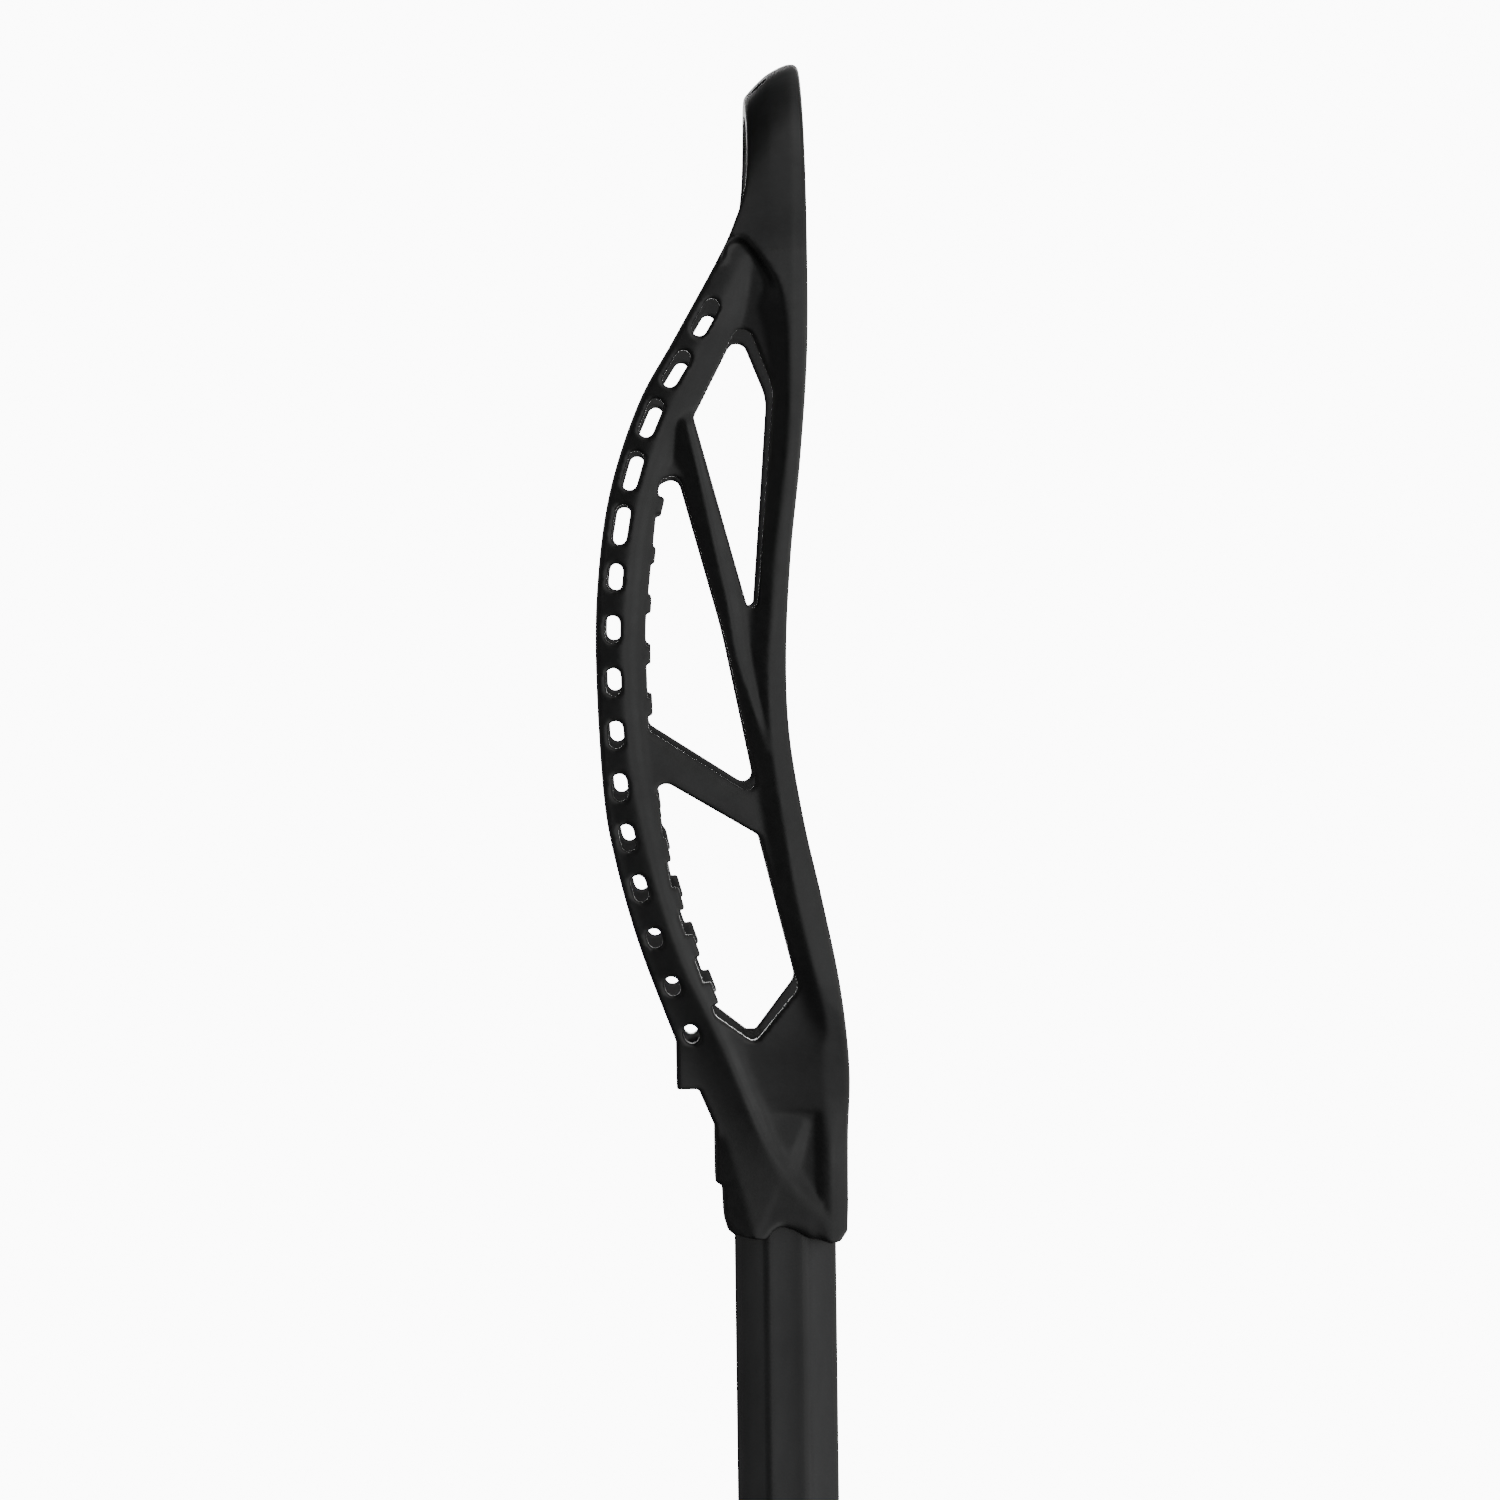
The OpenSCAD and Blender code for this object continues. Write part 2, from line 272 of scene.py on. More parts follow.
def soften(a, passes=1):
    """A small blur over a 2D drawing."""
    for _ in range(passes):
        b = np.pad(a, ((1, 1), (0, 0)), mode="edge")
        a = (b[:-2] + 2 * b[1:-1] + b[2:]) / 4
        b = np.pad(a, ((0, 0), (1, 1)), mode="edge")
        a = (b[:, :-2] + 2 * b[:, 1:-1] + b[:, 2:]) / 4
    return a


def blend(depths, width):
    """The least of several depths, with a fillet where two of them meet."""
    return -width * np.log(sum(np.exp(-d / width) for d in depths))


def octagon(grow):
    """The shaft's section, grown on every side. Half of a flat grows by 0.41 of that."""
    x, y, a, b = TUBE_X + grow, TUBE_Y + grow, FLAT_X + grow * 0.41, FLAT_Y + grow * 0.41
    return np.array([[x, b], [a, y], [-a, y], [-x, b], [-x, -b], [-a, -y], [a, -y], [x, -b]])


# ---------------------------------------------------------------- meshes

def mesh_from(name, points, faces):
    """A smooth-shaded mesh object from points in millimetres."""
    mesh = bpy.data.meshes.new(name)
    mesh.from_pydata((np.asarray(points) * MM).tolist(), [], [list(f) for f in faces])
    mesh.update()
    mesh.polygons.foreach_set("use_smooth", [True] * len(mesh.polygons))
    obj = bpy.data.objects.new(name, mesh)
    bpy.context.scene.collection.objects.link(obj)
    return obj


def relax(points, quads, passes):
    """Evens out the grid's small steps without shrinking the shape."""
    a, b = quads.ravel(), np.roll(quads, -1, axis=1).ravel()
    count = len(points)
    uses = (np.bincount(a, minlength=count) + np.bincount(b, minlength=count))[:, None]
    for weight in [0.5, -0.52] * passes:
        total = [np.bincount(a, points[b, k], count) + np.bincount(b, points[a, k], count)
                 for k in range(3)]
        points = points + weight * (np.array(total).T / uses - points)
    return points


def moulded(name, field, low, cell, lift, passes=3):
    """The mesh of a sampled field whose first sample is at low, raised by lift."""
    field = np.clip(field, -3 * cell, 3 * cell).astype(np.float32)
    grid = openvdb.FloatGrid(3 * cell)
    grid.copyFromArray(field, tolerance=1e-5)
    points, _, quads = grid.convertToPolygons(isovalue=0.0)
    points = relax(points * cell + low, quads, passes)
    return mesh_from(name, points + [0, 0, lift], quads[:, ::-1])


# ---------------------------------------------------------------- the head

def walk(points, s):
    """The place and direction at length s along the points."""
    for p, q in zip(points[:-1], points[1:]):
        step = np.linalg.norm(q - p)
        if s <= step:
            break
        s -= step
    way = (q - p) / step
    return p + way * s, way


def slot_place(i):
    """Length up the rail to slot i. The long ones at the top stand a little further apart."""
    return FIRST_SLOT + i * SLOT_PITCH + LONG_SLOT_EXTRA * max(0, i - LONG_SLOTS_FROM)


def slot_length(i):
    """Three short slots at the bottom, seven middling ones, then the long ones."""
    return 5.0 if i < 3 else 6.8 if i < 10 else 9.8


def slots(rail, u, h):
    """Signed distance to the string slots, all side by side along the rail."""
    nearest = np.full(u.shape, 1e9)
    for i in range(SLOTS):
        at, way = walk(rail, slot_place(i))
        centre = at + SLOT_INSET * np.array([-way[1], way[0]])
        reach = way * (slot_length(i) - 2 * SLOT_RADIUS) / 2
        slot = to_segment(centre - reach, centre + reach, u, h)[0] - SLOT_RADIUS
        nearest = np.minimum(nearest, slot)
    return nearest


def teeth(rail, u, h):
    """Signed distance to the teeth on the rail's inner edge, the lower ones longer."""
    nearest = np.full(u.shape, 1e9)
    for i in TOOTH_PLACES:
        at, way = walk(rail, slot_place(i))
        across = np.array([-way[1], way[0]])
        centre = at + across * TOOTH_INSET
        half = 3 if i < 5 else 2.2
        along = np.abs((u - centre[0]) * way[0] + (h - centre[1]) * way[1]) - half
        deep = np.abs((u - centre[0]) * across[0] + (h - centre[1]) * across[1]) - TOOTH_DEPTH
        nearest = np.minimum(nearest, meet(along, deep, 0.5))
    return nearest


def side_region(u, h):
    """Side view: the outline, less its windows, slots and rim arch. Negative inside."""
    back = spline(BACK_EDGE, 8)
    rail = back[::-1]
    outline = np.vstack([spline(FRONT_EDGE, 6), back, THROAT_EDGE])
    upper, middle, lower = (to_region(rounded(window), u, h)
                            for window in (UPPER_WINDOW, MIDDLE_WINDOW, LOWER_WINDOW))
    toothed = np.maximum(np.minimum(middle, lower), -teeth(rail, u, h))
    arch = to_region(spline(RIM_ARCH, 4), u, h)
    holes = np.minimum.reduce([toothed, upper, slots(rail, u, h), arch])
    return np.maximum(to_region(outline, u, h), -holes)


def rail_relief(u, h):
    """The back rail: a flat turned to the back, a ridge, and a bevel down to the windows."""
    rail = to_line(spline(RAIL_RIDGE, 4), u, h)
    turned = 0.25 * ramp(h, 252, 188) - 0.12 * ramp(h, 34, 12)
    bevel = 0.62 + 0.3 * ramp(h, 60, 40)
    under_scoop = 2.9 * ramp(h, 226, 246)
    return fold(rail, turned, bevel, 0.3 + 1.1 * ramp(h, 60, 120)) + under_scoop


def front_relief(u, h):
    """The front rail: a bevel to the front of its ridge and a steep face into the recess."""
    front = to_line(spline(FRONT_RIDGE, 4), u, h)
    recess = to_line(spline(RECESS_EDGE, 4), u, h)
    bevel = 0.33 - 0.48 * ramp(h, 75, 45)
    steep = 0.42 + 0.1 * ramp(h, 160, 190) + 2.4 * ramp(h, 232, 247)
    return np.maximum(fold(front, 0, bevel, 0.4), fold(recess, steep, 0, 0.25))


def throat_relief(u, h):
    """The throat's panel: a face up to the front column, a step in it, and a low crest."""
    slope = 0.12 + 0.14 * ramp(h, 40, 22)
    column = slope * np.maximum(u - COLUMN_U, 0) + 3 * ramp(h, 48, 70)
    step = 0.45 * ramp(u, -8.7, -8.0) * ramp(h, 34.4, 33.4) * ramp(h, 10.4, 11.4)
    panel = to_line(np.array(PANEL_RIDGE), u, h)
    crest = 1.2 + fold(panel, 0.1, 0.5, 0.2) + 3 * ramp(h, 30, 44)
    return np.minimum(column + step, crest)


def relief(u, h):
    """How deep the outer face lies under its highest ridges."""
    strut = to_line(spline(STRUT_RIDGE, 4), u, h)
    strut_face = 0.15 + fold(strut, 0.5, 0.62, 0.4)
    floor = 2.0 + 0.9 * ramp(h, 215, 238) + 0.1 * np.maximum(u, 0) * ramp(h, 190, 210)
    fillet = 0.15 + 0.4 * ramp(h, 72, 56)
    depth = blend([rail_relief(u, h), front_relief(u, h), strut_face, floor, throat_relief(u, h)],
                  fillet)
    corner = to_line(np.array(CORNER_RIDGE), u, h)
    depth = depth + 0.2 * np.maximum(corner, 0) * ramp(h, 29, 26)
    chamfer = 0.35 * np.maximum(COLUMN_U - u, 0) * ramp(h, 40, 22)
    depth = np.maximum(depth, chamfer)
    arch = to_region(spline(RIM_ARCH, 4), u, h)
    lip = 0.8 * np.clip(2.2 - arch, 0, 2.2) * ramp(u, 3.5, 0.5)
    return np.maximum(depth, lip + 0.2)


def front_outline():
    """Front view of the outer face, closed round the bottom."""
    arc = [[HALF_WIDTH * math.cos(a), SCOOP_H + (TIP_H - SCOOP_H) * math.sin(a)]
           for a in np.radians(np.arange(2, 91, 2))]
    half = np.vstack([spline(SHOULDER, 6)[:-1], spline(SIDE_WALL, 6), arc])
    return np.vstack([half, half[-2::-1] * [-1, 1]])


def stop_arc(start, end, inward=0.0):
    """The pocket opening's round bottom, in the front view, between two angles."""
    return [[(STOP_HALF - inward) * math.cos(a), STOP_TOP - (STOP_DROP - inward) * math.sin(a)]
            for a in np.radians(np.arange(start, end, 3 if end > start else -3))]


def pocket_floor():
    """Front view of the pocket's opening over its round bottom, wide open above it."""
    return np.array([[-120, 68], [-30.3, 68], *stop_arc(145, 34), [30.3, 68], [120, 68], [120, 400],
                     [-120, 400]])


def drill(field, axes, start, end, radius, corner=0.4):
    """Takes a round hole out of the field, from start to end as [x, u, h]."""
    p, q = np.array(start, float), np.array(end, float)
    length = np.linalg.norm(q - p)
    way = (q - p) / length
    cut = tuple(slice(*np.searchsorted(a, [min(s, e) - radius - 2, max(s, e) + radius + 2]))
                for a, s, e in zip(axes, p, q))
    x, u, h = np.meshgrid(*[a[c] for a, c in zip(axes, cut)], indexing="ij")
    along = (x - p[0]) * way[0] + (u - p[1]) * way[1] + (h - p[2]) * way[2]
    off = np.sqrt(np.maximum((x - p[0]) ** 2 + (u - p[1]) ** 2 + (h - p[2]) ** 2 - along ** 2, 0))
    hole = np.maximum(off - radius, np.abs(along - length / 2) - length / 2)
    field[cut] = meet(field[cut], -hole, corner)


def plug_field(x, u, hs):
    """The stem inside the top of the tube, with a pocket in each side."""
    low, high = PLUG_POCKET_ENDS
    pocket = np.maximum(PLUG_WEB - np.abs(x), np.abs(u) - PLUG_POCKET)[:, :, None]
    pocket = np.maximum(pocket, np.maximum(low - hs, hs - high)[None, None])
    length = np.abs(hs - PLUG_MIDDLE)[None, None] - PLUG_HALF
    stem = np.maximum(to_region(octagon(-1.7), x, u)[:, :, None], length)
    return np.maximum(stem, -pocket)


def wall_field(xs, us, hs):
    """Signed distance to the head's wall, between its outer face and the pocket.

    The outer face leans in from the tip to the back, the more so the more it faces upward.
    """
    x, h = np.meshgrid(xs, hs, indexing="ij")
    outline = to_region(front_outline(), x, h)
    upward = np.maximum(soften(np.gradient(outline, CELL, axis=1), round(12 / CELL ** 2)), 0)
    lean = 0.84 * upward ** 1.5 + 0.05 * np.interp(h, [180, 240], [0, 1])
    back = ((us - TIP_U) * (0.35 + 0.039 * (us - TIP_U)))[None, :, None]
    bulge = np.interp(us, BULGE_U, [0, 1, 0])[None, :, None]
    depth = soften(relief(*np.meshgrid(us, hs, indexing="ij")))
    face = outline[:, None, :] + lean[:, None, :] * back
    outer = (face - bulge * upward[:, None, :] + depth[None]).astype(np.float32)
    floor = to_region(pocket_floor(), x, h)
    inner = join((-face - WALL).astype(np.float32), -floor[:, None, :].astype(np.float32), 2)
    return meet(outer, inner)


def drill_head(field, axes):
    """The screw's stepped hole, and the round string holes."""
    drill(field, axes, (0, SCREW_SEAT, SCREW_H), (0, 25, SCREW_H), COUNTERBORE)
    drill(field, axes, (0, 9, SCREW_H), (0, 20, SCREW_H), SHANK_HOLE)
    drill(field, axes, (0, -3, SCREW_H), (0, 17, SCREW_H), PLUG_HOLE, 0.2)
    for a in np.radians(SCOOP_HOLES):
        centre = np.array([75 * math.cos(a), SCOOP_HOLE_U, SCOOP_H + 40 * math.sin(a)])
        reach = 12 * np.array([math.cos(a), 0, math.sin(a)])
        drill(field, axes, centre - reach, centre + reach, STRING_HOLE)
    for x in STOP_HOLES:
        drill(field, axes, (x, STOP_HOLE_U, 38), (x, STOP_HOLE_U, 72), STRING_HOLE)


def head_field():
    """Signed distance to half the head, and its three axes in millimetres."""
    xs = np.arange(0, HALF_WIDTH + 3, CELL)
    us = np.arange(-19, 48, CELL)
    hs = np.arange(-2.4, TIP_H + 4, CELL)
    u, h = np.meshgrid(us, hs, indexing="ij")
    side = side_region(u, h)[None].astype(np.float32)
    blunt = EDGE + 0.9 * ramp(h, 274, 290) * ramp(u, 2, -2)
    field = meet(wall_field(xs, us, hs), side, blunt[None].astype(np.float32))
    across = np.meshgrid(xs, us, indexing="ij")
    tube = to_region(octagon(0.15), *across)[:, :, None]
    socket = np.maximum(tube, (hs - SOCKET)[None, None]).astype(np.float32)
    field = meet(field, -socket, 0.4)
    field = np.minimum(field, plug_field(*across, hs).astype(np.float32))
    drill_head(field, (xs, us, hs))
    return field, (xs, us, hs)


def build_head():
    """Half the head is worked out, and the other half is its mirror image."""
    field, (xs, us, hs) = head_field()
    whole = np.concatenate([field[:0:-1], field])
    return moulded("head_moulding", whole, [-xs[-1], us[0], hs[0]], CELL, RIM_Z)


# ---------------------------------------------------------------- pad, screw, shaft and end cap

def build_pad():
    """A strip of foam bent along the round bottom of the pocket opening."""
    cell = 0.4
    xs, us, hs = np.arange(-18, 18.1, cell), np.arange(-13, 21.1, cell), np.arange(43, 55, cell)
    x, h = np.meshgrid(xs, hs, indexing="ij")
    strip = np.array(stop_arc(65, 117, 0.1) + stop_arc(115, 63, 3))
    band = to_region(strip, x, h)[:, None, :]
    across = np.abs(us - PAD_MIDDLE)
    crown = 0.25 * ramp(across, PAD_HALF, PAD_HALF - 5)[None, :, None]
    field = meet(band - crown, (across - PAD_HALF)[None, :, None], 1.2)
    return moulded("ball_stop_foam", field, [xs[0], us[0], hs[0]], cell, RIM_Z)


def build_screw():
    """A pan head with a cross recess over a threaded shank with a cone point, along the u axis."""
    cell = 0.16
    xs, us = np.arange(-4.6, 4.7, cell), np.arange(-1.6, 17.9, cell)
    x, u, z = np.meshgrid(xs, us, xs, indexing="ij")
    off, turn = np.hypot(x, z), np.arctan2(z, x) / (2 * math.pi)
    pitch, deep, radius = 1.3, 0.42, 2.05
    head_height, head_radius, dome_radius = 2.2, 3.95, 7.5
    arm_half, arm_reach = 0.55, 2.3
    shank = off - np.minimum(radius, deep + (u + 0.9) * 0.6)
    thread = deep * (1 - 2 * np.abs((u / pitch - turn) % 1 - 0.5))
    shank = shank + deep - thread * ramp(u, SCREW_SEAT - 1, SCREW_SEAT - 3)
    shank = np.maximum(shank, np.maximum(u - SCREW_SEAT - 1, -0.8 - u))
    dome = np.hypot(off, u - (SCREW_SEAT + head_height - dome_radius)) - dome_radius
    head = meet(meet(dome, off - head_radius, 0.5), SCREW_SEAT - u, 0.2)
    arms = [np.maximum(np.abs(a) - arm_half, np.abs(b) - arm_reach) for a, b in ((x, z), (z, x))]
    recess = np.minimum(np.minimum(*arms), off - 1.1) + 0.28 * np.maximum(SCREW_SEAT + 2 - u, 0)
    recess = np.maximum(recess, SCREW_SEAT + 0.9 - u)
    field = np.minimum(shank * 0.8, meet(head, -recess, 0.15))
    return moulded("cross_head_screw", field, [xs[0], us[0], xs[0]], cell, RIM_Z + SCREW_H, 2)


def section(grow, radius, dish=0.0):
    """One ring round the shaft's axis: rounded corners and flats dished inwards."""
    ring = rounded([[x, y, radius] for x, y in octagon(grow)])
    out = []
    for i, p in enumerate(ring):
        q = ring[(i + 1) % len(ring)]
        out.append(p)
        if i % ARC_POINTS == ARC_POINTS - 1:
            inward = np.array([q[1] - p[1], p[0] - q[0]]) / np.linalg.norm(q - p)
            inward *= -np.sign(inward @ (p + q))
            for t in (0.15, 0.32, 0.5, 0.68, 0.85):
                out.append(p + (q - p) * t + inward * dish * 4 * t * (1 - t))
    return out


def lofted(name, rings, closed):
    """A skin over rings of [height, points], with the last joined to the first if closed."""
    count = len(rings[0][1])
    points = [[x, y, z] for z, ring in rings for x, y in ring]
    steps = len(rings) if closed else len(rings) - 1
    faces = []
    for k in range(steps):
        a, b = k * count, (k + 1) % len(rings) * count
        faces += [[a + i, a + (i + 1) % count, b + (i + 1) % count, b + i] for i in range(count)]
    if not closed:
        faces += [list(range(count))[::-1], list(range(len(points) - count, len(points)))]
    obj = mesh_from(name, points, faces)
    bm = bmesh.new()
    bm.from_mesh(obj.data)
    bmesh.ops.recalc_face_normals(bm, faces=bm.faces)
    bm.to_mesh(obj.data)
    bm.free()
    obj.data.set_sharp_from_angle(angle=math.radians(38))
    return obj


def apply_modifiers(obj):
    """Keeps what the modifiers make as the piece's own mesh."""
    made = bpy.data.meshes.new_from_object(obj.evaluated_get(bpy.context.evaluated_depsgraph_get()))
    obj.modifiers.clear()
    obj.data = made


def build_shaft():
    """The tube, open at both ends, with the screw's hole through its back near the top."""
    low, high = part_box("shaft")[0].z / MM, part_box("shaft")[1].z / MM
    ease = 0.3
    outer, eased = section(0, 3, 0.22), section(-ease, 2.8, 0.22)
    inner, flared = section(-1.3, 1.1, 0.1), section(-1.1, 1.2, 0.1)
    heights = [low + ease, low + 90, low + 200, *[RIM_Z + z for z in (-200, -12, 15, 33)], high - ease]
    rings = [[low, eased], *[[z, outer] for z in heights], [high, eased]]
    rings += [[high, flared], *[[z, inner] for z in heights[::-1]], [low, flared]]
    obj = lofted("alloy_tube", rings, True)
    bm = bmesh.new()
    place = Matrix.Translation((0, 11 * MM, (RIM_Z + SCREW_H) * MM))
    bmesh.ops.create_cone(bm, cap_ends=True, segments=32, radius1=SHANK_HOLE * MM,
                          radius2=SHANK_HOLE * MM, depth=10 * MM,
                          matrix=place @ Matrix.Rotation(math.pi / 2, 4, "X"))
    cutter = bpy.data.objects.new("cutter", bpy.data.meshes.new("cutter"))
    bm.to_mesh(cutter.data)
    bm.free()
    bpy.context.scene.collection.objects.link(cutter)
    cut = obj.modifiers.new("screw_hole", "BOOLEAN")
    cut.operation, cut.object, cut.solver = "DIFFERENCE", cutter, "EXACT"
    apply_modifiers(obj)
    bpy.data.objects.remove(cutter)
    return obj


def build_end_cap():
    """A rubber cup over the tube's foot: a flared base, grooves round the sleeve, a rolled mouth."""
    top, floor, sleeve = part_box("end_cap")[1].z / MM, 4, 2.05
    groove = [[0, sleeve], [0.3, 1.75], [0.8, 1.65], [1.3, 1.75], [1.6, sleeve]]
    outside = [[0, 1.2], [0.15, 1.8], [0.5, 2.3], [1.1, 2.7], [1.8, 3.2], [2.6, 3.4], [6.8, 3.4],
               [7.6, 3.2], [8.1, 2.7], [8.6, 2.2], [9.4, sleeve]]
    for k in range(5):
        outside += [[11 + 3 * k + up, grow] for up, grow in groove]
    outside += [[top - 1, sleeve], [top - 0.4, 1.85], [top, 1.4]]
    inside = [[top, 0.7], [top - 0.5, 0.25], [top - 1.2, 0.15], [floor + 0.4, 0.15], [floor, -0.3]]
    rings = [[z, section(grow, 1.9 + 0.5 * max(grow, 0))] for z, grow in outside + inside]
    return lofted("rubber_end_cap", rings, False)


# ---------------------------------------------------------------- materials

def material(name, colour, roughness, specular=0.5, metallic=0.0):
    """A material whose uniform values sit on the shader's own sockets."""
    m = bpy.data.materials.new(name)
    m.use_nodes = True
    shader = m.node_tree.nodes["Principled BSDF"]
    shader.inputs["Base Color"].default_value = (*colour, 1)
    shader.inputs["Roughness"].default_value = roughness
    shader.inputs["Specular IOR Level"].default_value = specular
    shader.inputs["Metallic"].default_value = metallic
    return m


def noise(m, scale, detail=2.0, stretch=(1, 1, 1)):
    """Noise over the piece's own space, with scale in cells per metre."""
    nodes, links = m.node_tree.nodes, m.node_tree.links
    place, turn = nodes.new("ShaderNodeTexCoord"), nodes.new("ShaderNodeMapping")
    turn.inputs["Scale"].default_value = stretch
    field = nodes.new("ShaderNodeTexNoise")
    field.inputs["Scale"].default_value = scale
    field.inputs["Detail"].default_value = detail
    links.new(place.outputs["Object"], turn.inputs["Vector"])
    links.new(turn.outputs["Vector"], field.inputs["Vector"])
    return field.outputs["Fac"]


def spread(m, value, low, high):
    """The value from 0.3 to 0.7 spread over low to high."""
    node = m.node_tree.nodes.new("ShaderNodeMapRange")
    node.inputs["From Min"].default_value, node.inputs["From Max"].default_value = 0.3, 0.7
    node.inputs["To Min"].default_value, node.inputs["To Max"].default_value = low, high
    m.node_tree.links.new(value, node.inputs["Value"])
    return node.outputs["Result"]


def rough(m, value, low, high):
    """Roughness that wanders from low to high."""
    shader = m.node_tree.nodes["Principled BSDF"]
    m.node_tree.links.new(spread(m, value, low, high), shader.inputs["Roughness"])


def tinted(m, value, dark, light):
    """Colour that wanders from dark to light."""
    nodes, links = m.node_tree.nodes, m.node_tree.links
    mix = nodes.new("ShaderNodeMix")
    mix.data_type = "RGBA"
    mix.inputs["A"].default_value, mix.inputs["B"].default_value = (*dark, 1), (*light, 1)
    links.new(spread(m, value, 0, 1), mix.inputs["Factor"])
    links.new(mix.outputs["Result"], nodes["Principled BSDF"].inputs["Base Color"])


def bumps(m, *heights):
    """Relief from (value, depth in millimetres) pairs, one over the other."""
    nodes, links = m.node_tree.nodes, m.node_tree.links
    before = None
    for value, depth in heights:
        node = nodes.new("ShaderNodeBump")
        node.inputs["Distance"].default_value = depth * MM
        links.new(value, node.inputs["Height"])
        if before:
            links.new(before, node.inputs["Normal"])
        before = node.outputs["Normal"]
    links.new(before, nodes["Principled BSDF"].inputs["Normal"])


def nylon():
    """Black glass-filled nylon: matt mould texture with broad soft mottling."""
    m = material("moulded_nylon", (0.004, 0.004, 0.0042), 0.42, 0.5)
    rough(m, noise(m, 140, 3), 0.36, 0.46)
    tinted(m, noise(m, 420, 3), (0.003, 0.003, 0.0032), (0.0055, 0.0055, 0.0057))
    bumps(m, (noise(m, 230, 2), 0.03), (noise(m, 2600, 2), 0.012))
    return m


def anodised():
    """Black anodised alloy: satin, with faint drawing lines along the tube."""
    m = material("anodised_alloy", (0.008, 0.008, 0.0085), 0.5, 0.5)
    rough(m, noise(m, 90, 4, (1, 1, 0.5)), 0.44, 0.54)
    tinted(m, noise(m, 260, 3, (1, 1, 0.4)), (0.0065, 0.0065, 0.007), (0.01, 0.01, 0.0105))
    bumps(m, (noise(m, 120, 2, (1, 1, 0.35)), 0.025), (noise(m, 3000, 2, (1, 1, 0.03)), 0.003))
    return m


def rubber():
    """Matt moulded rubber with a fine grain and a bloom of lighter dust."""
    m = material("cap_rubber", (0.015, 0.015, 0.015), 0.7, 0.35)
    rough(m, noise(m, 180, 3), 0.62, 0.8)
    tinted(m, noise(m, 320, 4), (0.011, 0.011, 0.011), (0.021, 0.021, 0.02))
    bumps(m, (noise(m, 500, 2), 0.03), (noise(m, 3200, 3), 0.03))
    return m


def foam():
    """Closed-cell foam: a skin of small pits."""
    m = material("foam", (0.02, 0.02, 0.02), 0.9, 0.2)
    nodes, links = m.node_tree.nodes, m.node_tree.links
    place, cells = nodes.new("ShaderNodeTexCoord"), nodes.new("ShaderNodeTexVoronoi")
    cells.inputs["Scale"].default_value = 1500
    links.new(place.outputs["Object"], cells.inputs["Vector"])
    tinted(m, noise(m, 900, 3), (0.015, 0.015, 0.015), (0.028, 0.028, 0.027))
    rough(m, noise(m, 700, 2), 0.82, 0.95)
    bumps(m, (noise(m, 260, 2), 0.1), (cells.outputs["Distance"], 0.25))
    return m


def steel():
    """Zinc-plated steel with a slightly uneven plating."""
    m = material("screw_steel", (0.35, 0.35, 0.36), 0.34, 0.5, 1.0)
    rough(m, noise(m, 900, 3), 0.26, 0.42)
    tinted(m, noise(m, 500, 3), (0.3, 0.3, 0.31), (0.4, 0.4, 0.405))
    bumps(m, (noise(m, 2500, 2), 0.006))
    return m


def pale_floor():
    """A matt, nearly white floor."""
    m = material("pale_floor", (0.8, 0.8, 0.79), 0.7)
    rough(m, noise(m, 3, 2), 0.62, 0.75)
    return m


# ---------------------------------------------------------------- camera, stage and light

# The studio's wall as light. Its brightness is the product of a share by each part of the
# direction: straight behind the stick it is brightest, with a dark ring round that place.
# Diffuse rays get MORE_ON_DIFFUSE of it on top, and the camera sees plain white instead.
WALL_LIGHT = 2.2
MORE_ON_DIFFUSE = 3
SEEN_WHITE = 11
ALONG_X = [[-1, 1], [0.4, 1], [0.6, 0.32], [0.975, 0.32], [0.985, 12], [1, 12]]
ALONG_Y = [
    [-1, 0.22], [-0.88, 0.85], [-0.6, 0.42], [-0.25, 0.62], [0, 0.64], [0.25, 0.035], [0.6, 0.03],
    [1, 0.12],
]
ALONG_Z = [
    [-1, 0.1], [-0.85, 0.8], [-0.6, 1.15], [-0.3, 1], [0, 0.85], [0.45, 0.6], [0.8, 0.3], [1, 0.2],
]
# The photo's camera, placed in metres: a long lens, nearly level with the middle of the head.
LENS = 196.2
CAMERA_PLACE = (-2.05, 0.0318, 0.9008)
CAMERA_AIM = (0, 0.0073, 0.8528)
CAMERA_UP = (0, -0.01267, 0.99992)
FLOOR_RADIUS = 3


def make_camera():
    """The camera that sees what the photo shows."""
    data = bpy.data.cameras.new("photo_camera")
    data.lens, data.sensor_width = LENS, 36
    cam = bpy.data.objects.new("photo_camera", data)
    bpy.context.scene.collection.objects.link(cam)
    place = Vector(CAMERA_PLACE)
    forward = (Vector(CAMERA_AIM) - place).normalized()
    right = forward.cross(Vector(CAMERA_UP)).normalized()
    up = right.cross(forward)
    cam.matrix_world = Matrix.Translation(place) @ Matrix((right, up, -forward)).transposed().to_4x4()
    data.clip_start, data.clip_end = 0.05, 50
    bpy.context.scene.camera = cam


def area_light(name, place, aim, size, watts):
    """A soft box of size metres at place, turned to aim and hidden from the camera."""
    data = bpy.data.lights.new(name, "AREA")
    data.shape, data.size, data.size_y = "RECTANGLE", size[0], size[1]
    data.energy = watts
    light = bpy.data.objects.new(name, data)
    bpy.context.scene.collection.objects.link(light)
    light.location = place
    light.rotation_mode = "QUATERNION"
    light.rotation_quaternion = (Vector(aim) - Vector(place)).to_track_quat("-Z", "Y")
    light.visible_camera = False


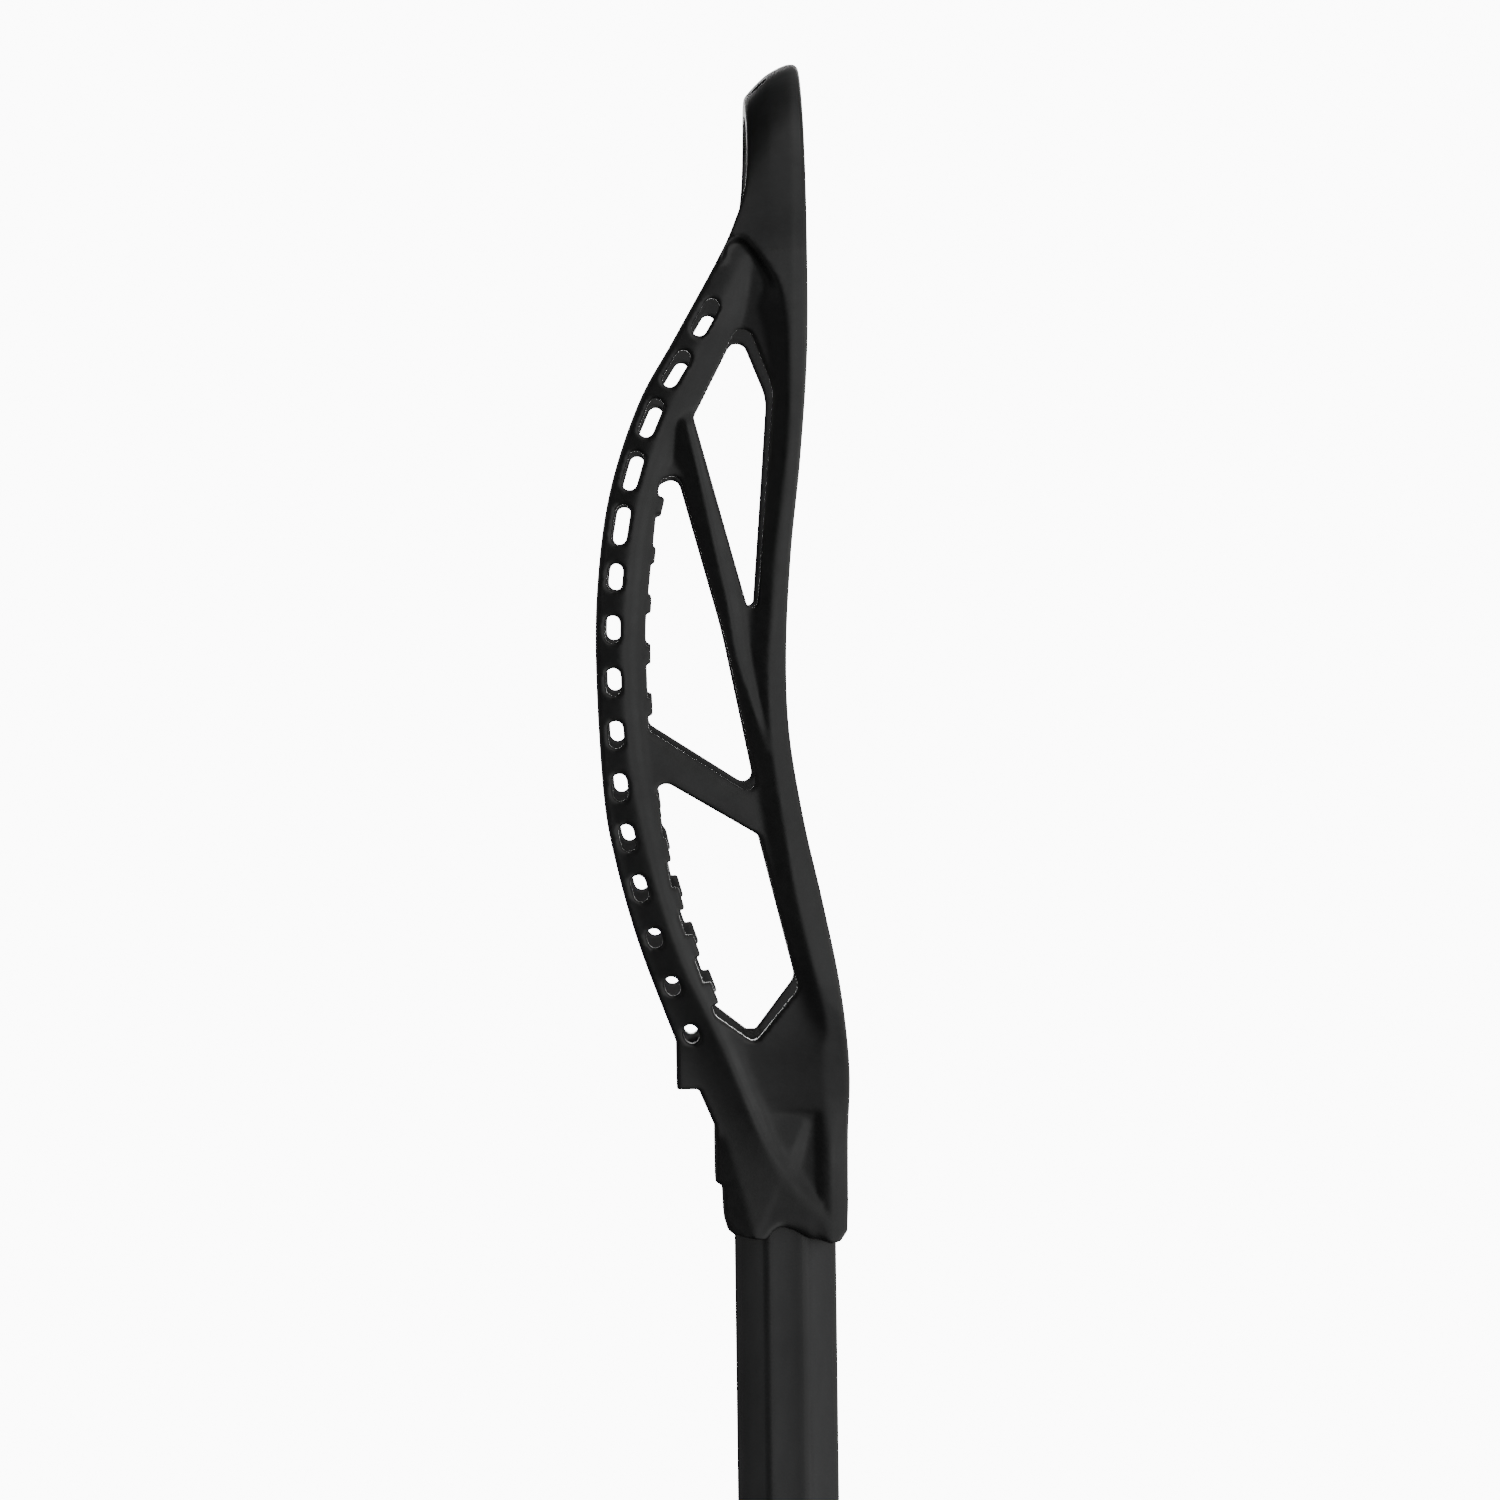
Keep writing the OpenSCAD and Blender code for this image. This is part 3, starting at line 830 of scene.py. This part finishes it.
def make_lights():
    """A wide soft box overhead, a weak one beyond the stick and a weaker one at its back."""
    middle = (0, 0, 0.9)
    area_light("overhead", (-0.5, 0, 2.9), middle, (3.2, 3.2), 20)
    area_light("behind", (2.2, -0.5, 1.15), middle, (1.4, 0.8), 6)
    area_light("rear", (0.3, 2.3, 1.2), middle, (1, 1.8), 4)


def make_stage():
    """A round pale floor, low enough for the end cap to be drawn off without going through it."""
    bm = bmesh.new()
    bmesh.ops.create_circle(bm, cap_ends=True, radius=FLOOR_RADIUS, segments=96)
    floor = bpy.data.objects.new("floor", bpy.data.meshes.new("floor"))
    bm.to_mesh(floor.data)
    bm.free()
    bpy.context.scene.collection.objects.link(floor)
    floor.data.materials.append(pale_floor())
    floor.visible_glossy = False
    floor.location.z = -max(j["range_m"][1] for j in frame["joints"] if j["child"] == "end_cap")


def graded(nodes, links, along, steps):
    """A colour ramp over one part of a direction, from steps of [direction, brightness]."""
    place, shade = nodes.new("ShaderNodeMapRange"), nodes.new("ShaderNodeValToRGB")
    place.inputs["From Min"].default_value = -1
    for k, (value, light) in enumerate(steps):
        stop = shade.color_ramp.elements[k] if k < 2 else shade.color_ramp.elements.new(1)
        stop.position, stop.color = (value + 1) / 2, (light, light, light, 1)
    links.new(along, place.inputs["Value"])
    links.new(place.outputs["Result"], shade.inputs["Fac"])
    return shade.outputs["Color"]


def make_world():
    """White to the camera. As light it is a studio's wall, bright at -Y and dark at +Y."""
    world = bpy.data.worlds.new("studio")
    world.use_nodes = True
    bpy.context.scene.world = world
    nodes, links = world.node_tree.nodes, world.node_tree.links
    seen, lit, mix, path = (nodes.new("ShaderNodeBackground"), nodes["Background"],
                            nodes.new("ShaderNodeMixShader"), nodes.new("ShaderNodeLightPath"))
    seen.inputs["Color"].default_value = (1, 1, 1, 1)
    seen.inputs["Strength"].default_value = SEEN_WHITE
    way, split = nodes.new("ShaderNodeTexCoord"), nodes.new("ShaderNodeSeparateXYZ")
    links.new(way.outputs["Generated"], split.inputs[0])
    shade = graded(nodes, links, split.outputs["Y"], ALONG_Y)
    for axis, steps in (("Z", ALONG_Z), ("X", ALONG_X)):
        product = nodes.new("ShaderNodeVectorMath")
        product.operation = "MULTIPLY"
        links.new(shade, product.inputs[0])
        links.new(graded(nodes, links, split.outputs[axis], steps), product.inputs[1])
        shade = product.outputs[0]
    links.new(shade, lit.inputs["Color"])
    strength = nodes.new("ShaderNodeMath")
    strength.operation = "MULTIPLY_ADD"
    strength.inputs[1].default_value = MORE_ON_DIFFUSE
    strength.inputs[2].default_value = WALL_LIGHT
    links.new(path.outputs["Is Diffuse Ray"], strength.inputs[0])
    links.new(strength.outputs[0], lit.inputs["Strength"])
    links.new(path.outputs["Is Camera Ray"], mix.inputs[0])
    links.new(lit.outputs[0], mix.inputs[1])
    links.new(seen.outputs[0], mix.inputs[2])
    links.new(mix.outputs[0], nodes["World Output"].inputs[0])


# ---------------------------------------------------------------- the whole stick

make_camera()
make_world()
make_lights()
make_stage()

# Each piece with the CAD node it stands for, its material and the body it rides on.
PIECES = [
    (build_head, nylon, "head_frame", "moulded_nylon", "stick"),
    (build_shaft, anodised, "shaft", "anodised_alloy", "stick"),
    (build_pad, foam, "ball_stop_pad", "foam", "stick"),
    (build_screw, steel, "head_screw", "screw_steel", "head_screw"),
    (build_end_cap, rubber, "end_cap", "cap_rubber", "end_cap"),
]
for build, finish, node, slot, body in PIECES:
    piece = build()
    piece.data.materials.append(finish())
    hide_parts(node)
    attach(piece, body)
